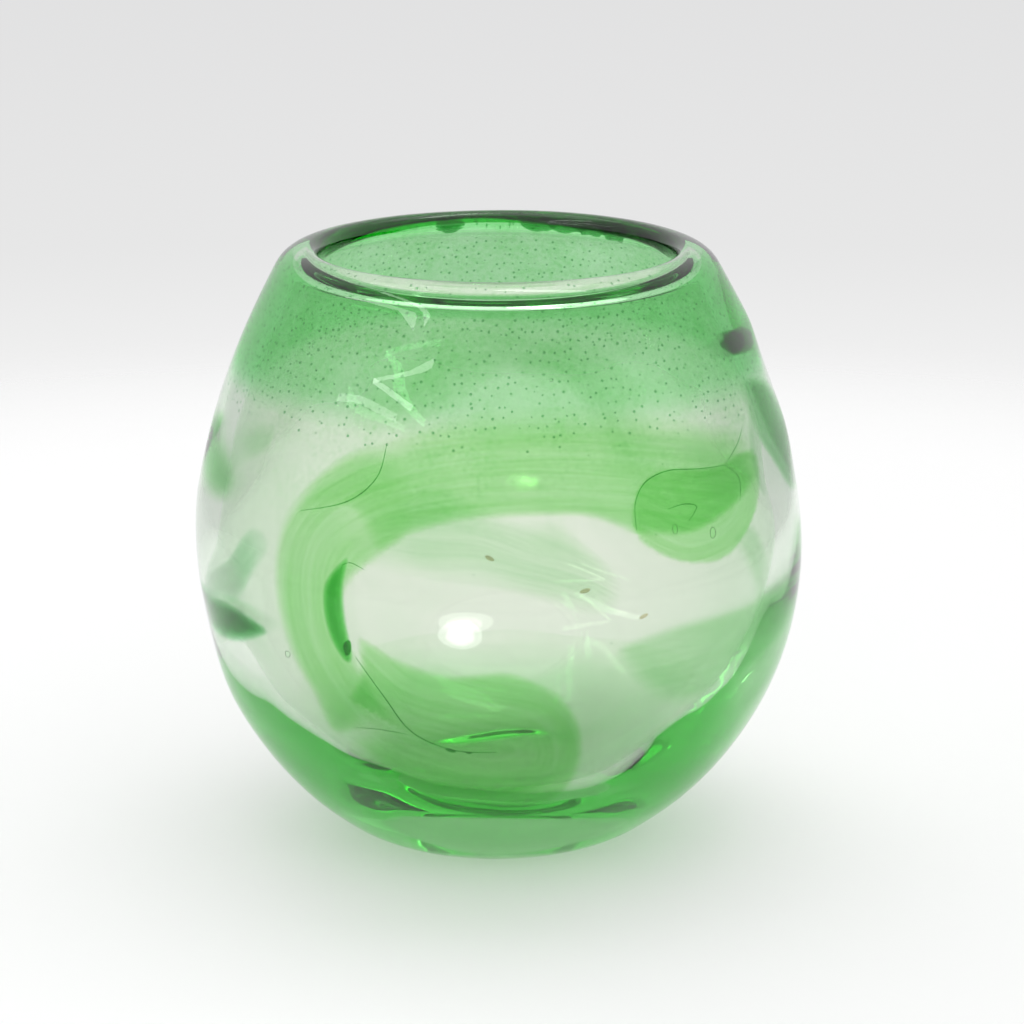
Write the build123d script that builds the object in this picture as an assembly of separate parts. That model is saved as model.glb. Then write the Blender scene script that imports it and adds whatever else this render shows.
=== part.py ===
from build123d import *
import math
import os

# Hand blown vase, cased glass. Millimetres, +Z up, origin at the middle of the ground flat it
# stands on. The front is the -Y side. Every piece is one body of glass, as it was gathered,
# laid on or rolled in at the furnace; they meet face to face with nothing between them.

# Overall form
max_radius = 76.0
body_height = 149.5
belly_height = 74.0
rest_radius = 32.8
mouth_radius = 43.6
roll_curve = 9.0
belly_fullness = 0.64
shoulder_flatness = 1.52
floor_rounding = 0.94

# Wall, from the cavity outwards
lining_thickness = 3.0
colour_thickness = 1.4
cover_thickness = 2.2
bit_thickness = 0.9

# Floor, from the cavity downwards
base_lining = 3.0
pool_thickness = 2.4
base_cover = 2.2
pool_radius = 46.0

# Colour
frit_drop = 24.0
frit_lip_gap = 1.0
thread_width = 0.8
fleck_length = 3.2
fleck_width = 1.4
chip_radius = 2.6

wall_thickness = lining_thickness + colour_thickness + cover_thickness
lip_radius = wall_thickness / 2
crest_radius = mouth_radius + lip_radius
floor_height = base_lining + pool_thickness + base_cover
over = 20.0
axis_clearance = 10.0


def arc_between(centre, radius, start, end):
    return CenterArc(centre, radius, start, end - start)


def bearing(origin, target):
    return math.degrees(math.atan2(target[1] - origin[1], target[0] - origin[0]))


def shoulder_centre(belly, belly_reach, roll, roll_reach):
    """Where two reaches from the belly's and the lip roll's centres meet, on the axis side."""
    gap = math.dist(belly, roll)
    along = (belly_reach**2 - roll_reach**2 + gap**2) / (2 * gap)
    aside = math.sqrt(belly_reach**2 - along**2)
    step = ((roll[0] - belly[0]) / gap, (roll[1] - belly[1]) / gap)
    return (belly[0] + step[0] * along - step[1] * aside, belly[1] + step[1] * along + step[0] * aside)


def upper_arcs(depth):
    """From the belly up to the crest: three arcs that flow into each other, set in by a depth."""
    roll = (crest_radius, body_height - roll_curve)
    inward = crest_radius - max_radius
    rise = roll[1] - belly_height
    one_sweep = (roll_curve**2 - inward**2 - rise**2) / (2 * (inward + roll_curve))
    belly_curve = belly_fullness * one_sweep
    shoulder_curve = shoulder_flatness * one_sweep
    belly = (max_radius - belly_curve, belly_height)
    shoulder = shoulder_centre(belly, shoulder_curve - belly_curve, roll, shoulder_curve - roll_curve)
    low = bearing(shoulder, belly)
    high = bearing(shoulder, roll)
    return [
        arc_between(belly, belly_curve - depth, 0, low),
        arc_between(shoulder, shoulder_curve - depth, low, high),
        arc_between(roll, roll_curve - depth, high, 90),
    ]


def inner_bowl(depth, floor):
    """From the axis out over a floor and up to the belly, for every surface within the glass."""
    radius = max_radius - depth
    rise = belly_height - floor
    side_curve = floor_rounding * min(radius, rise)
    inset = radius - side_curve
    floor_curve = (side_curve**2 - inset**2 - rise**2) / (2 * (side_curve - rise))
    side = (inset, belly_height)
    under = (0, floor + floor_curve)
    turn = bearing(under, side)
    return [arc_between(under, floor_curve, -90, turn), arc_between(side, side_curve, turn, 0)]


def outer_bowl():
    """From the ground flat up to the belly."""
    inset = max_radius - rest_radius
    curve = (inset**2 + belly_height**2) / (2 * inset)
    centre = (max_radius - curve, belly_height)
    return [arc_between(centre, curve, bearing(centre, (rest_radius, 0)), 0)]


def spun(edges):
    """The solid that a closed line in radius and height turns about the vase's own axis."""
    return revolve(Plane.XZ * make_face(Wire(edges)), Axis.Z, 360)


def closing(*points):
    return [Line(start, end) for start, end in zip(points, points[1:])]


def filled(depth, floor):
    """All that lies inside a surface set in from the outer one, up to the lip."""
    top = body_height - depth
    lid = closing((crest_radius, top), (0, top), (0, floor))
    return spun(inner_bowl(depth, floor) + upper_arcs(depth) + lid)


def outside():
    lid = closing((crest_radius, body_height), (0, body_height), (0, 0), (rest_radius, 0))
    return spun(outer_bowl() + upper_arcs(0) + lid)


def cavity():
    """The hollow, with the mouth and its rounded lip, open upwards."""
    lip = arc_between((crest_radius, body_height - lip_radius), lip_radius, 90, 270)
    top = body_height + over
    lid = closing((crest_radius, body_height), (crest_radius, top), (0, top), (0, floor_height))
    return spun(inner_bowl(wall_thickness, floor_height) + upper_arcs(wall_thickness) + [lip] + lid)


def outline_face(outline):
    """An outline on the upright plane. Its points are shares of the greatest radius to the
    right and of the height up."""
    points = [(across * max_radius, up * body_height) for across, up in outline]
    return make_face(Spline(*points, periodic=True))


def thread_face(path):
    points = [(across * max_radius, up * body_height) for across, up in path]
    return trace(Spline(*points), thread_width)


def fleck_face(across, up, tilt):
    place = Pos(across * max_radius, up * body_height) * Rot(0, 0, tilt)
    return place * Ellipse(fleck_length / 2, fleck_width / 2)


def prism(face, facing):
    """What a face covers, seen from one side: 0 is the front, and 90 the right-hand side. It
    starts a little way out from the axis, well inside the cavity."""
    near = Plane.XZ.offset(axis_clearance)
    return Rot(0, 0, facing) * extrude(near * face, max_radius)


# Outlines of the ribbons. Each later one in this list is laid up against those before it.
ribbon_outlines = {
    "right_curl_ribbon": (0, [
        (0.38, 0.64), (0.43, 0.70), (0.52, 0.714), (0.66, 0.703), (0.80, 0.71),
        (0.805, 0.62), (0.72, 0.562), (0.60, 0.561), (0.47, 0.59),
    ]),
    "arch_ribbon": (0, [
        (-0.62, 0.645), (-0.48, 0.735), (-0.33, 0.771), (-0.16, 0.807), (0.0, 0.822),
        (0.21, 0.823), (0.42, 0.805), (0.62, 0.773), (0.76, 0.735), (0.72, 0.67), (0.50, 0.655),
        (0.37, 0.634), (0.27, 0.655), (0.13, 0.66), (-0.08, 0.655), (-0.25, 0.63), (-0.36, 0.61),
        (-0.45, 0.66),
    ]),
    "left_bend_ribbon": (0, [
        (-0.62, 0.66), (-0.676, 0.59), (-0.683, 0.526), (-0.666, 0.464), (-0.623, 0.40),
        (-0.566, 0.35), (-0.50, 0.285), (-0.38, 0.30), (-0.25, 0.30), (-0.345, 0.369),
        (-0.43, 0.438), (-0.462, 0.504), (-0.433, 0.55), (-0.36, 0.59), (-0.36, 0.66),
    ]),
    "lower_lobe_ribbon": (0, [
        (-0.42, 0.465), (-0.30, 0.437), (-0.15, 0.415), (0.01, 0.422), (0.10, 0.41),
        (0.20, 0.375), (0.26, 0.31), (0.25, 0.235), (0.18, 0.18), (0.05, 0.155),
        (-0.12, 0.153), (-0.27, 0.168), (-0.41, 0.225), (-0.50, 0.29), (-0.42, 0.40),
    ]),
    "lower_right_ribbon": (50, [
        (-0.45, 0.44), (-0.28, 0.472), (-0.05, 0.476), (0.25, 0.478), (0.60, 0.485),
        (0.80, 0.50), (0.84, 0.44), (0.60, 0.39), (0.28, 0.375), (0.05, 0.345),
        (-0.12, 0.315), (-0.30, 0.35),
    ]),
    "right_edge_ribbon": (78, [
        (-0.13, 0.80), (0.03, 0.79), (0.20, 0.74), (0.34, 0.66), (0.26, 0.585),
        (0.08, 0.60), (-0.04, 0.66), (-0.12, 0.72),
    ]),
    "left_upper_ribbon": (-84, [
        (0.34, 0.67), (0.10, 0.705), (-0.25, 0.70), (-0.50, 0.66), (-0.46, 0.61),
        (-0.15, 0.62), (0.12, 0.60), (0.32, 0.615),
    ]),
    "left_lower_ribbon": (-76, [
        (0.46, 0.44), (0.28, 0.462), (0.05, 0.452), (-0.25, 0.45), (-0.55, 0.47),
        (-0.58, 0.41), (-0.25, 0.375), (0.05, 0.385), (0.30, 0.40),
    ]),
    "back_arch_ribbon": (180, [
        (-0.62, 0.55), (-0.50, 0.70), (-0.25, 0.78), (0.05, 0.79), (0.35, 0.73),
        (0.58, 0.60), (0.55, 0.50), (0.40, 0.53), (0.22, 0.63), (0.0, 0.68),
        (-0.22, 0.66), (-0.38, 0.58), (-0.47, 0.49),
    ]),
    "back_lower_ribbon": (180, [
        (-0.46, 0.33), (-0.25, 0.40), (0.0, 0.41), (0.25, 0.46), (0.48, 0.44),
        (0.52, 0.35), (0.30, 0.31), (0.05, 0.27), (-0.22, 0.24), (-0.42, 0.25),
    ]),
}

crescent_outline = [
    (-0.475, 0.575), (-0.51, 0.528), (-0.495, 0.47), (-0.463, 0.435), (-0.44, 0.447),
    (-0.463, 0.50), (-0.475, 0.54),
]
edge_bit_outline = [(-0.17, 0.874), (0.0, 0.882), (0.16, 0.858), (0.10, 0.838), (-0.10, 0.846)]

thread_paths = [
    [(-0.43, 0.43), (-0.345, 0.369), (-0.257, 0.308), (-0.13, 0.28), (0.0, 0.278)],
    [(-0.33, 0.765), (-0.36, 0.714), (-0.448, 0.673), (-0.60, 0.645)],
    [(0.425, 0.63), (0.42, 0.67), (0.45, 0.70), (0.52, 0.712), (0.62, 0.705), (0.70, 0.70)],
    [(0.52, 0.655), (0.57, 0.658), (0.61, 0.65), (0.585, 0.63)],
]
fleck_places = [(0.446, 0.494, -20), (0.266, 0.545, -12), (-0.02, 0.60, 30)]
chip_turns = [140, 149, 157, 167, 196]
edge_bit_facing = 74


def frit_block():
    """All that stands above the lower edge of the frit, outside the rounding of the lip."""
    size = 4 * max_radius
    block = Pos(0, 0, body_height - frit_drop + size / 2) * Box(size, size, size)
    core = Pos(0, 0, body_height) * Cylinder(crest_radius + frit_lip_gap, body_height)
    return block - core


def pool_block():
    return Cylinder(pool_radius, belly_height)


def chip_posts():
    ring = crest_radius + 2 * chip_radius
    post = Pos(0, -ring, body_height) * Cylinder(chip_radius, 2 * lip_radius)
    return [Rot(0, 0, turn) * post for turn in chip_turns]


def ribbon_faces():
    """Each ribbon's own face, by name, with those before it in the list taken away."""
    faces = {}
    laid = {}
    for name, (facing, outline) in ribbon_outlines.items():
        face = outline_face(outline)
        before = laid.setdefault(facing, [])
        faces[name] = (facing, face - before if before else face)
        before.append(face)
    return faces


def colour_plugs():
    """Each colour, as a plug that reaches from the under side of the cover to the axis."""
    form = filled(cover_thickness, base_cover)
    frit = frit_block()
    pool = pool_block()
    plugs = {"shoulder_frit": [form & frit], "base_pool": [form & pool]}
    for name, (facing, face) in ribbon_faces().items():
        plugs[name] = [(form & prism(face, facing)) - frit - pool]
    plugs["amber_flecks"] = [form & prism(fleck_face(*place), 0) for place in fleck_places]
    return plugs


def bit_plugs():
    """The same for what was laid on over the colour, a bit thickness further out."""
    form = filled(cover_thickness - bit_thickness, base_cover - bit_thickness)
    crescent = outline_face(crescent_outline)
    return {
        "dark_crescent": [form & prism(crescent, 0)],
        "right_edge_bit": [form & prism(outline_face(edge_bit_outline), edge_bit_facing)],
        "fold_threads": [form & prism(thread_face(path) - crescent, 0) for path in thread_paths],
        "lip_frit_chips": [form & post for post in chip_posts()],
    }


def build_pieces():
    """The colours are what their plugs hold outside the glass under them, and the casing is
    the rest of the wall, so it fills every place between the colours."""
    wall = outside() - cavity()
    lining = filled(cover_thickness + colour_thickness, base_cover + pool_thickness)
    colour = filled(cover_thickness, base_cover)
    casing = wall - lining
    pieces = {}
    for plugs, under in ((colour_plugs(), lining), (bit_plugs(), colour)):
        for name, group in plugs.items():
            solids = []
            for plug in group:
                solids += (plug - under).solids()
                casing = casing - plug
            pieces[name] = solids[0] if len(solids) == 1 else Compound(children=solids)
    pieces["outer_casing"] = casing
    pieces["clear_lining"] = wall & lining
    return pieces


os.makedirs("parts", exist_ok=True)
for name, piece in build_pieces().items():
    export_step(piece, f"parts/{name}.step")
    print(name, len(piece.solids()), round(piece.volume, 1))
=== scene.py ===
import bpy
import math
import numpy as np
from mathutils import Matrix, Vector, noise


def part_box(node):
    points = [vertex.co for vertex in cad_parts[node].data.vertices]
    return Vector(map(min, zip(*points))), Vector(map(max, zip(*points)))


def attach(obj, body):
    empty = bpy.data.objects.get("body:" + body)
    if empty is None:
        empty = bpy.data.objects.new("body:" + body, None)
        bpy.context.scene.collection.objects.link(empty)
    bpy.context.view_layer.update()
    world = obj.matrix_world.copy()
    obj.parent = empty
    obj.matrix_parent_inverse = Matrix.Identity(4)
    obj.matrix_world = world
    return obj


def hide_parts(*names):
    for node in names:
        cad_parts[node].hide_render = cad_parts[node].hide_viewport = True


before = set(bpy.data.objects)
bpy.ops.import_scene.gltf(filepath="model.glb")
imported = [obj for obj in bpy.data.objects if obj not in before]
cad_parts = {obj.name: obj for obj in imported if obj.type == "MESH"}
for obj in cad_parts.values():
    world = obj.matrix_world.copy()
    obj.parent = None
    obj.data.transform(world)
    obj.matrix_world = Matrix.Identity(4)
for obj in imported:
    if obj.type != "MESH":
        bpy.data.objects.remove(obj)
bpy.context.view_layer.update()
print("frame loaded:", len(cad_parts), "nodes")

scene = bpy.context.scene
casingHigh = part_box("outer_casing")[1]

# the vase's form, which every surface in the glass is set in from
body = {
    "radius": casingHigh[0],
    "height": casingHigh[2],
    "belly": 0.074,
    "rest": 0.0328,
    "mouth": 0.0436,
    "roll": 0.009,
    "fullness": 0.64,
    "flatness": 1.52,
    "floorRounding": 0.94,
    "lining": 0.0030,
    "colour": 0.0014,
    "cover": 0.0022,
    "baseLining": 0.003,
    "pool": 0.0024,
    "baseCover": 0.0022,
}
wall = body["lining"] + body["colour"] + body["cover"]
lipRadius = wall / 2
crestRadius = body["mouth"] + lipRadius
cavityFloor = body["baseLining"] + body["pool"] + body["baseCover"]
liningDepth = body["colour"] + body["cover"]
liningFloor = body["pool"] + body["baseCover"]


# the vase's lines: arcs as (centre, radius, first angle, last angle), angles in degrees

def bearing(origin, target):
    return math.degrees(math.atan2(target[1] - origin[1], target[0] - origin[0]))


def shoulderCentre(belly, bellyReach, roll, rollReach):
    gap = math.dist(belly, roll)
    along = (bellyReach**2 - rollReach**2 + gap**2) / (2 * gap)
    aside = math.sqrt(bellyReach**2 - along**2)
    stepX, stepZ = (roll[0] - belly[0]) / gap, (roll[1] - belly[1]) / gap
    return (belly[0] + stepX * along - stepZ * aside, belly[1] + stepZ * along + stepX * aside)


def upperArcs(depth):
    roll = (crestRadius, body["height"] - body["roll"])
    inward = crestRadius - body["radius"]
    rise = roll[1] - body["belly"]
    oneSweep = (body["roll"]**2 - inward**2 - rise**2) / (2 * (inward + body["roll"]))
    bellyCurve = body["fullness"] * oneSweep
    shoulderCurve = body["flatness"] * oneSweep
    belly = (body["radius"] - bellyCurve, body["belly"])
    shoulder = shoulderCentre(belly, shoulderCurve - bellyCurve, roll, shoulderCurve - body["roll"])
    low, high = bearing(shoulder, belly), bearing(shoulder, roll)
    return [
        (belly, bellyCurve - depth, 0, low),
        (shoulder, shoulderCurve - depth, low, high),
        (roll, body["roll"] - depth, high, 90),
    ]


def innerBowl(depth, floor):
    radius = body["radius"] - depth
    rise = body["belly"] - floor
    sideCurve = body["floorRounding"] * min(radius, rise)
    inset = radius - sideCurve
    floorCurve = (sideCurve**2 - inset**2 - rise**2) / (2 * (sideCurve - rise))
    side, under = (inset, body["belly"]), (0, floor + floorCurve)
    turn = bearing(under, side)
    return [(under, floorCurve, -90, turn), (side, sideCurve, turn, 0)]


def outerBowl():
    inset = body["radius"] - body["rest"]
    curve = (inset**2 + body["belly"]**2) / (2 * inset)
    centre = (body["radius"] - curve, body["belly"])
    return [(centre, curve, bearing(centre, (body["rest"], 0)), 0)]


def pointsOn(arcs, spacing):
    points = []
    for (across, up), radius, first, last in arcs:
        count = max(3, round(abs(math.radians(last - first)) * radius / spacing))
        for k in range(count + 1):
            angle = math.radians(first + (last - first) * k / count)
            point = (across + radius * math.cos(angle), up + radius * math.sin(angle))
            if not points or math.dist(point, points[-1]) > 1e-6:
                points.append(point)
    return points


def wallRadius(height, depth, floor):
    arcs = innerBowl(depth, floor) + upperArcs(depth)
    for (across, up), radius, first, last in arcs:
        if height <= up + radius * math.sin(math.radians(last)):
            break
    return across + math.sqrt(max(radius**2 - (height - up)**2, 0))


# small tools

curveSteps = 10  # short straights between two given points of a drawn line


def curvePoint(before, here, there, after, t):
    return 0.5 * (2 * here + (there - before) * t
                  + (2 * before - 5 * here + 4 * there - after) * t**2
                  + (3 * here - before - 3 * there + after) * t**3)


def closedCurve(points):
    loop = []
    count = len(points)
    for k in range(count):
        four = [np.array(points[(k + j) % count], float) for j in (-1, 0, 1, 2)]
        loop += [curvePoint(*four, step / curveSteps) for step in range(curveSteps)]
    return np.array(loop)


def openCurve(points, per=curveSteps):
    padded = [np.array(p, float) for p in (points[0], *points, points[-1])]
    line = []
    for four in zip(padded, padded[1:], padded[2:], padded[3:]):
        line += [curvePoint(*four, step / per) for step in range(per)]
    line.append(padded[-1])
    return np.array(line)


def nearestOn(line, points, closed):
    # distance, nearest place, run along and side, for each point against a line of short straights
    starts = line if closed else line[:-1]
    ends = np.roll(line, -1, axis=0) if closed else line[1:]
    spans = ends - starts
    lengths = np.linalg.norm(spans, axis=1)
    runs = np.concatenate([[0], np.cumsum(lengths)])[:-1]
    offset = points[:, None] - starts[None]
    share = np.clip((offset * spans).sum(2) / np.maximum(lengths**2, 1e-14), 0, 1)
    nearest = starts[None] + share[..., None] * spans[None]
    gaps = np.linalg.norm(points[:, None] - nearest, axis=2)
    pick = gaps.argmin(1)
    rows = np.arange(len(points))
    span, off = spans[pick], offset[rows, pick]
    side = np.sign(span[:, 0] * off[:, 1] - span[:, 1] * off[:, 0])
    return gaps[rows, pick], nearest[rows, pick], runs[pick] + share[rows, pick] * lengths[pick], side


def insideLoop(loop, points):
    x, y = points[:, 0][:, None], points[:, 1][:, None]
    x0, y0 = loop[:, 0], loop[:, 1]
    x1, y1 = np.roll(x0, -1), np.roll(y0, -1)
    crosses = (y0 > y) != (y1 > y)
    where = (x1 - x0) * (y - y0) / np.where(y1 == y0, 1e-12, y1 - y0) + x0
    return ((crosses & (x < where)).sum(1) % 2) == 1


def only(piece):
    bpy.ops.object.select_all(action="DESELECT")
    piece.select_set(True)
    bpy.context.view_layer.objects.active = piece


def editing(piece, mode="VERT"):
    only(piece)
    bpy.ops.object.mode_set(mode="EDIT")
    bpy.ops.mesh.select_mode(type=mode)


def doneEditing():
    bpy.ops.object.mode_set(mode="OBJECT")


def choose(piece, flags):
    editing(piece)
    bpy.ops.mesh.select_all(action="DESELECT")
    doneEditing()
    piece.data.vertices.foreach_set("select", flags)
    editing(piece)


def placeOf(piece):
    coords = np.empty(len(piece.data.vertices) * 3)
    piece.data.vertices.foreach_get("co", coords)
    return coords.reshape(-1, 3)


def setPlace(piece, coords):
    piece.data.vertices.foreach_set("co", coords.reshape(-1))
    piece.data.update()


def smoothSteps(values):
    values = np.clip(values, 0, 1)
    return values * values * (3 - 2 * values)


def applyModifiers(piece):
    only(piece)
    for modifier in list(piece.modifiers):
        bpy.ops.object.modifier_apply(modifier=modifier.name)


def faceOutward(piece):
    editing(piece)
    bpy.ops.mesh.select_all(action="SELECT")
    bpy.ops.mesh.normals_make_consistent(inside=False)
    doneEditing()


def settle(piece):
    only(piece)
    bpy.ops.object.transform_apply(location=True, rotation=True, scale=True)


def smoothed(piece, angle):
    only(piece)
    bpy.ops.object.shade_smooth_by_angle(angle=math.radians(angle))


# materials

def startMaterial(name):
    material = bpy.data.materials.new(name)
    material.use_nodes = True
    nodes = material.node_tree.nodes
    return material, nodes, material.node_tree.links, nodes["Principled BSDF"]


def groupSockets(tree, inputs, outputs):
    for name, kind, value in inputs:
        socket = tree.interface.new_socket(name, in_out="INPUT", socket_type=kind)
        socket.default_value = value
    for name, kind in outputs:
        tree.interface.new_socket(name, in_out="OUTPUT", socket_type=kind)


def setInputs(node, values):
    for socket, value in values.items():
        node.inputs[socket].default_value = value


def wire(links, *pairs):
    # each pair is a node and its output, then a node and its input
    for start, output, end, socket in pairs:
        links.new(start.outputs[output], end.inputs[socket])


def addNode(nodes, kind, values=None):
    node = nodes.new("ShaderNode" + kind)
    setInputs(node, values or {})
    return node


def addMath(nodes, operation):
    node = nodes.new("ShaderNodeMath")
    node.operation = operation
    return node


def addColourMix(nodes, blendType="MIX"):
    node = nodes.new("ShaderNodeMix")
    node.data_type = "RGBA"
    node.blend_type = blendType
    return node


def addGroup(nodes, tree, values):
    node = nodes.new("ShaderNodeGroup")
    node.node_tree = tree
    setInputs(node, values)
    return node


def ramp(nodes, stops):
    node = nodes.new("ShaderNodeValToRGB")
    elements = node.color_ramp.elements
    while len(elements) < len(stops):
        elements.new(0.5)
    for element, (place, colour) in zip(elements, stops):
        element.position = place
        element.color = (*colour, 1)
    return node


def makeStreaks():
    # long wisps that follow a ribbon's own length, as UV x runs along it and y across
    tree = bpy.data.node_groups.new("pulledStreaks", "ShaderNodeTree")
    groupSockets(
        tree,
        [("Along", "NodeSocketFloat", 26.0), ("Across", "NodeSocketFloat", 800.0),
         ("Pale", "NodeSocketColor", (1, 1, 1, 1)), ("Deep", "NodeSocketColor", (0.6, 0.9, 0.55, 1)),
         ("Drift", "NodeSocketFloat", 0.45)],
        [("Color", "NodeSocketColor")],
    )
    nodes, links = tree.nodes, tree.links
    given, out = nodes.new("NodeGroupInput"), nodes.new("NodeGroupOutput")
    flow, split, join = (addNode(nodes, kind) for kind in ("UVMap", "SeparateXYZ", "CombineXYZ"))
    flow.uv_map = "flow"
    along, across = addMath(nodes, "MULTIPLY"), addMath(nodes, "MULTIPLY")
    fine = addNode(nodes, "TexNoise", {"Scale": 1.0, "Detail": 4.0, "Distortion": 0.4})
    broad = addNode(nodes, "TexNoise", {"Scale": 0.28, "Detail": 2.0})
    both = addNode(nodes, "Mix")
    spread = addNode(nodes, "MapRange", {"From Min": 0.33, "From Max": 0.67})
    blend, faded = addColourMix(nodes), addColourMix(nodes)
    setInputs(faded, {"A": (1, 1, 1, 1)})
    bodyShare = addNode(nodes, "Attribute")
    bodyShare.attribute_name = "body"
    wire(
        links, (flow, "UV", split, 0), (split, "X", along, 0), (given, "Along", along, 1),
        (split, "Y", across, 0), (given, "Across", across, 1), (along, 0, join, "X"),
        (across, 0, join, "Y"), (join, 0, fine, "Vector"), (join, 0, broad, "Vector"),
        (given, "Drift", both, "Factor"), (fine, "Fac", both, "A"), (broad, "Fac", both, "B"),
        (both, "Result", spread, "Value"), (spread, "Result", blend, "Factor"),
        (given, "Pale", blend, "A"), (given, "Deep", blend, "B"), (bodyShare, "Fac", faded, "Factor"),
        (blend, "Result", faded, "B"), (faded, "Result", out, "Color"),
    )
    return tree


def makeMottles():
    # crushed colour melted in: cloudy patches, fine grains and a ragged lower edge, by metres up
    tree = bpy.data.node_groups.new("meltedGrains", "ShaderNodeTree")
    groupSockets(
        tree,
        [("Clear", "NodeSocketColor", (0.97, 1, 0.98, 1)), ("Dense", "NodeSocketColor", (0.3, 0.7, 0.4, 1)),
         ("Start", "NodeSocketFloat", 0.112), ("Full", "NodeSocketFloat", 0.138),
         ("Ragged", "NodeSocketFloat", 0.014)],
        [("Color", "NodeSocketColor")],
    )
    nodes, links = tree.nodes, tree.links
    given, out = nodes.new("NodeGroupInput"), nodes.new("NodeGroupOutput")
    where, split = addNode(nodes, "TexCoord"), addNode(nodes, "SeparateXYZ")
    clouds = addNode(nodes, "TexNoise", {"Scale": 95, "Detail": 5, "Roughness": 0.65})
    patches = addNode(nodes, "TexNoise", {"Scale": 38, "Detail": 3})
    grains = addNode(nodes, "TexVoronoi", {"Scale": 620})
    ragged, centred = addMath(nodes, "MULTIPLY_ADD"), addMath(nodes, "SUBTRACT")
    centred.inputs[1].default_value = 0.5
    height = addNode(nodes, "MapRange")
    height.interpolation_type = "SMOOTHSTEP"
    cloud = addNode(nodes, "MapRange", {"From Min": 0.34, "From Max": 0.66, "To Min": 0.12})
    grain = addNode(nodes, "MapRange", {
        "From Min": 0.10, "From Max": 0.55, "To Min": 1.55, "To Max": 0.55})
    first, second = addMath(nodes, "MULTIPLY"), addMath(nodes, "MULTIPLY")
    blend = addColourMix(nodes)
    for texture in (clouds, patches, grains):
        links.new(where.outputs["Object"], texture.inputs["Vector"])
    wire(
        links, (where, "Object", split, 0), (patches, "Fac", centred, 0), (centred, 0, ragged, 0),
        (given, "Ragged", ragged, 1), (split, "Z", ragged, 2), (ragged, 0, height, "Value"),
        (given, "Start", height, "From Min"), (given, "Full", height, "From Max"),
        (clouds, "Fac", cloud, "Value"), (grains, "Distance", grain, "Value"),
        (cloud, "Result", first, 0), (grain, "Result", first, 1), (first, 0, second, 0),
        (height, "Result", second, 1), (second, 0, blend, "Factor"), (given, "Clear", blend, "A"),
        (given, "Dense", blend, "B"), (blend, "Result", out, "Color"),
    )
    return tree


streaks, mottles = makeStreaks(), makeMottles()


def startGlass(name, index):
    material, nodes, links, shader = startMaterial(name)
    setInputs(shader, {"Transmission Weight": 1, "IOR": index, "Roughness": 0})
    return material, nodes, links, shader


def glassInside(name, absorb, density):
    # glass fused within glass: nothing bends at its faces, and it colours by its thickness
    material, nodes, links, shader = startGlass(name, 1.0)
    volume = addNode(nodes, "VolumeAbsorption", {"Color": (*absorb, 1), "Density": density})
    wire(links, (volume, 0, nodes["Material Output"], "Volume"))
    return material, nodes, links, shader


def streakyGlass(name, absorb, density, pale, deepest):
    material, nodes, links, shader = glassInside(name, absorb, density)
    group = addGroup(nodes, streaks, {"Pale": (*pale, 1), "Deep": (*deepest, 1)})
    wire(links, (group, "Color", shader, "Base Color"))
    return material


def mottledGlass(name, absorb, density, grains):
    material, nodes, links, shader = glassInside(name, absorb, density)
    group = addGroup(nodes, mottles, grains)
    wire(links, (group, "Color", shader, "Base Color"))
    return material


def cloudyGlass(name, absorb, density, pale, deepest, scale, noiseLook):
    # swirled or clouded tint; the scale squashes it along the axes
    material, nodes, links, shader = glassInside(name, absorb, density)
    where, squash = addNode(nodes, "TexCoord"), addNode(nodes, "Mapping", {"Scale": scale})
    swirl = addNode(nodes, "TexNoise", noiseLook)
    tint = ramp(nodes, [(0.35, pale), (0.65, deepest)])
    wire(
        links, (where, "Object", squash, "Vector"), (squash, 0, swirl, "Vector"),
        (swirl, "Fac", tint, "Fac"), (tint, "Color", shader, "Base Color"),
    )
    return material


def plainDeep(name, absorb, density, base):
    darker = tuple(0.8 * value for value in base)
    return cloudyGlass(name, absorb, density, base, darker, (1, 1, 1), {"Scale": 300})


def bubbleGlass(name, middle, rim):
    # a bubble is read by its dark rim; that rim is painted shade by view angle, and the tint of its middle
    # is painted too, standing in for the light an air pocket in glass turns away
    material, nodes, links, shader = startGlass(name, 1.0)
    turned = addNode(nodes, "LayerWeight", {"Blend": 0.5})
    shade = ramp(nodes, [(0.25, middle), (0.75, rim)])
    wire(links, (turned, "Facing", shade, "Fac"), (shade, "Color", shader, "Base Color"))
    return material


def polishedGlass():
    # clear glass with a grey-green cast, and a veil of fine colour carried down from the shoulder
    material, nodes, links, shader = startGlass("firePolishedGlass", 1.5)
    veil = addGroup(nodes, mottles, {
        "Clear": (0.88, 0.915, 0.845, 1), "Dense": (0.64, 0.84, 0.60, 1),
        "Start": 0.088, "Full": 0.122, "Ragged": 0.05})
    where = addNode(nodes, "TexCoord")
    cords = addNode(nodes, "TexNoise", {"Scale": 26, "Detail": 2})
    bump = addNode(nodes, "Bump", {"Strength": 0.06, "Distance": 0.001})
    # painted shade: the colour turns darker green toward the silhouettes by view angle, standing in for the
    # longer path light takes through tinted glass
    turned, paintedEdgeShade = addNode(nodes, "LayerWeight", {"Blend": 0.35}), addColourMix(nodes, "MULTIPLY")
    setInputs(paintedEdgeShade, {"B": (0.52, 0.74, 0.55, 1)})
    wire(
        links, (where, "Object", cords, "Vector"), (cords, "Fac", bump, "Height"),
        (turned, "Facing", paintedEdgeShade, "Factor"), (veil, "Color", paintedEdgeShade, "A"),
        (paintedEdgeShade, "Result", shader, "Base Color"), (bump, "Normal", shader, "Normal"),
    )
    return material


def fusedFace():
    # where one gather lies on another there is no surface left to see
    material, nodes, links, shader = startMaterial("fusedFace")
    clear = addNode(nodes, "BsdfTransparent")
    wire(links, (clear, 0, nodes["Material Output"], "Surface"))
    nodes.remove(shader)
    return material


# the clear glass

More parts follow.
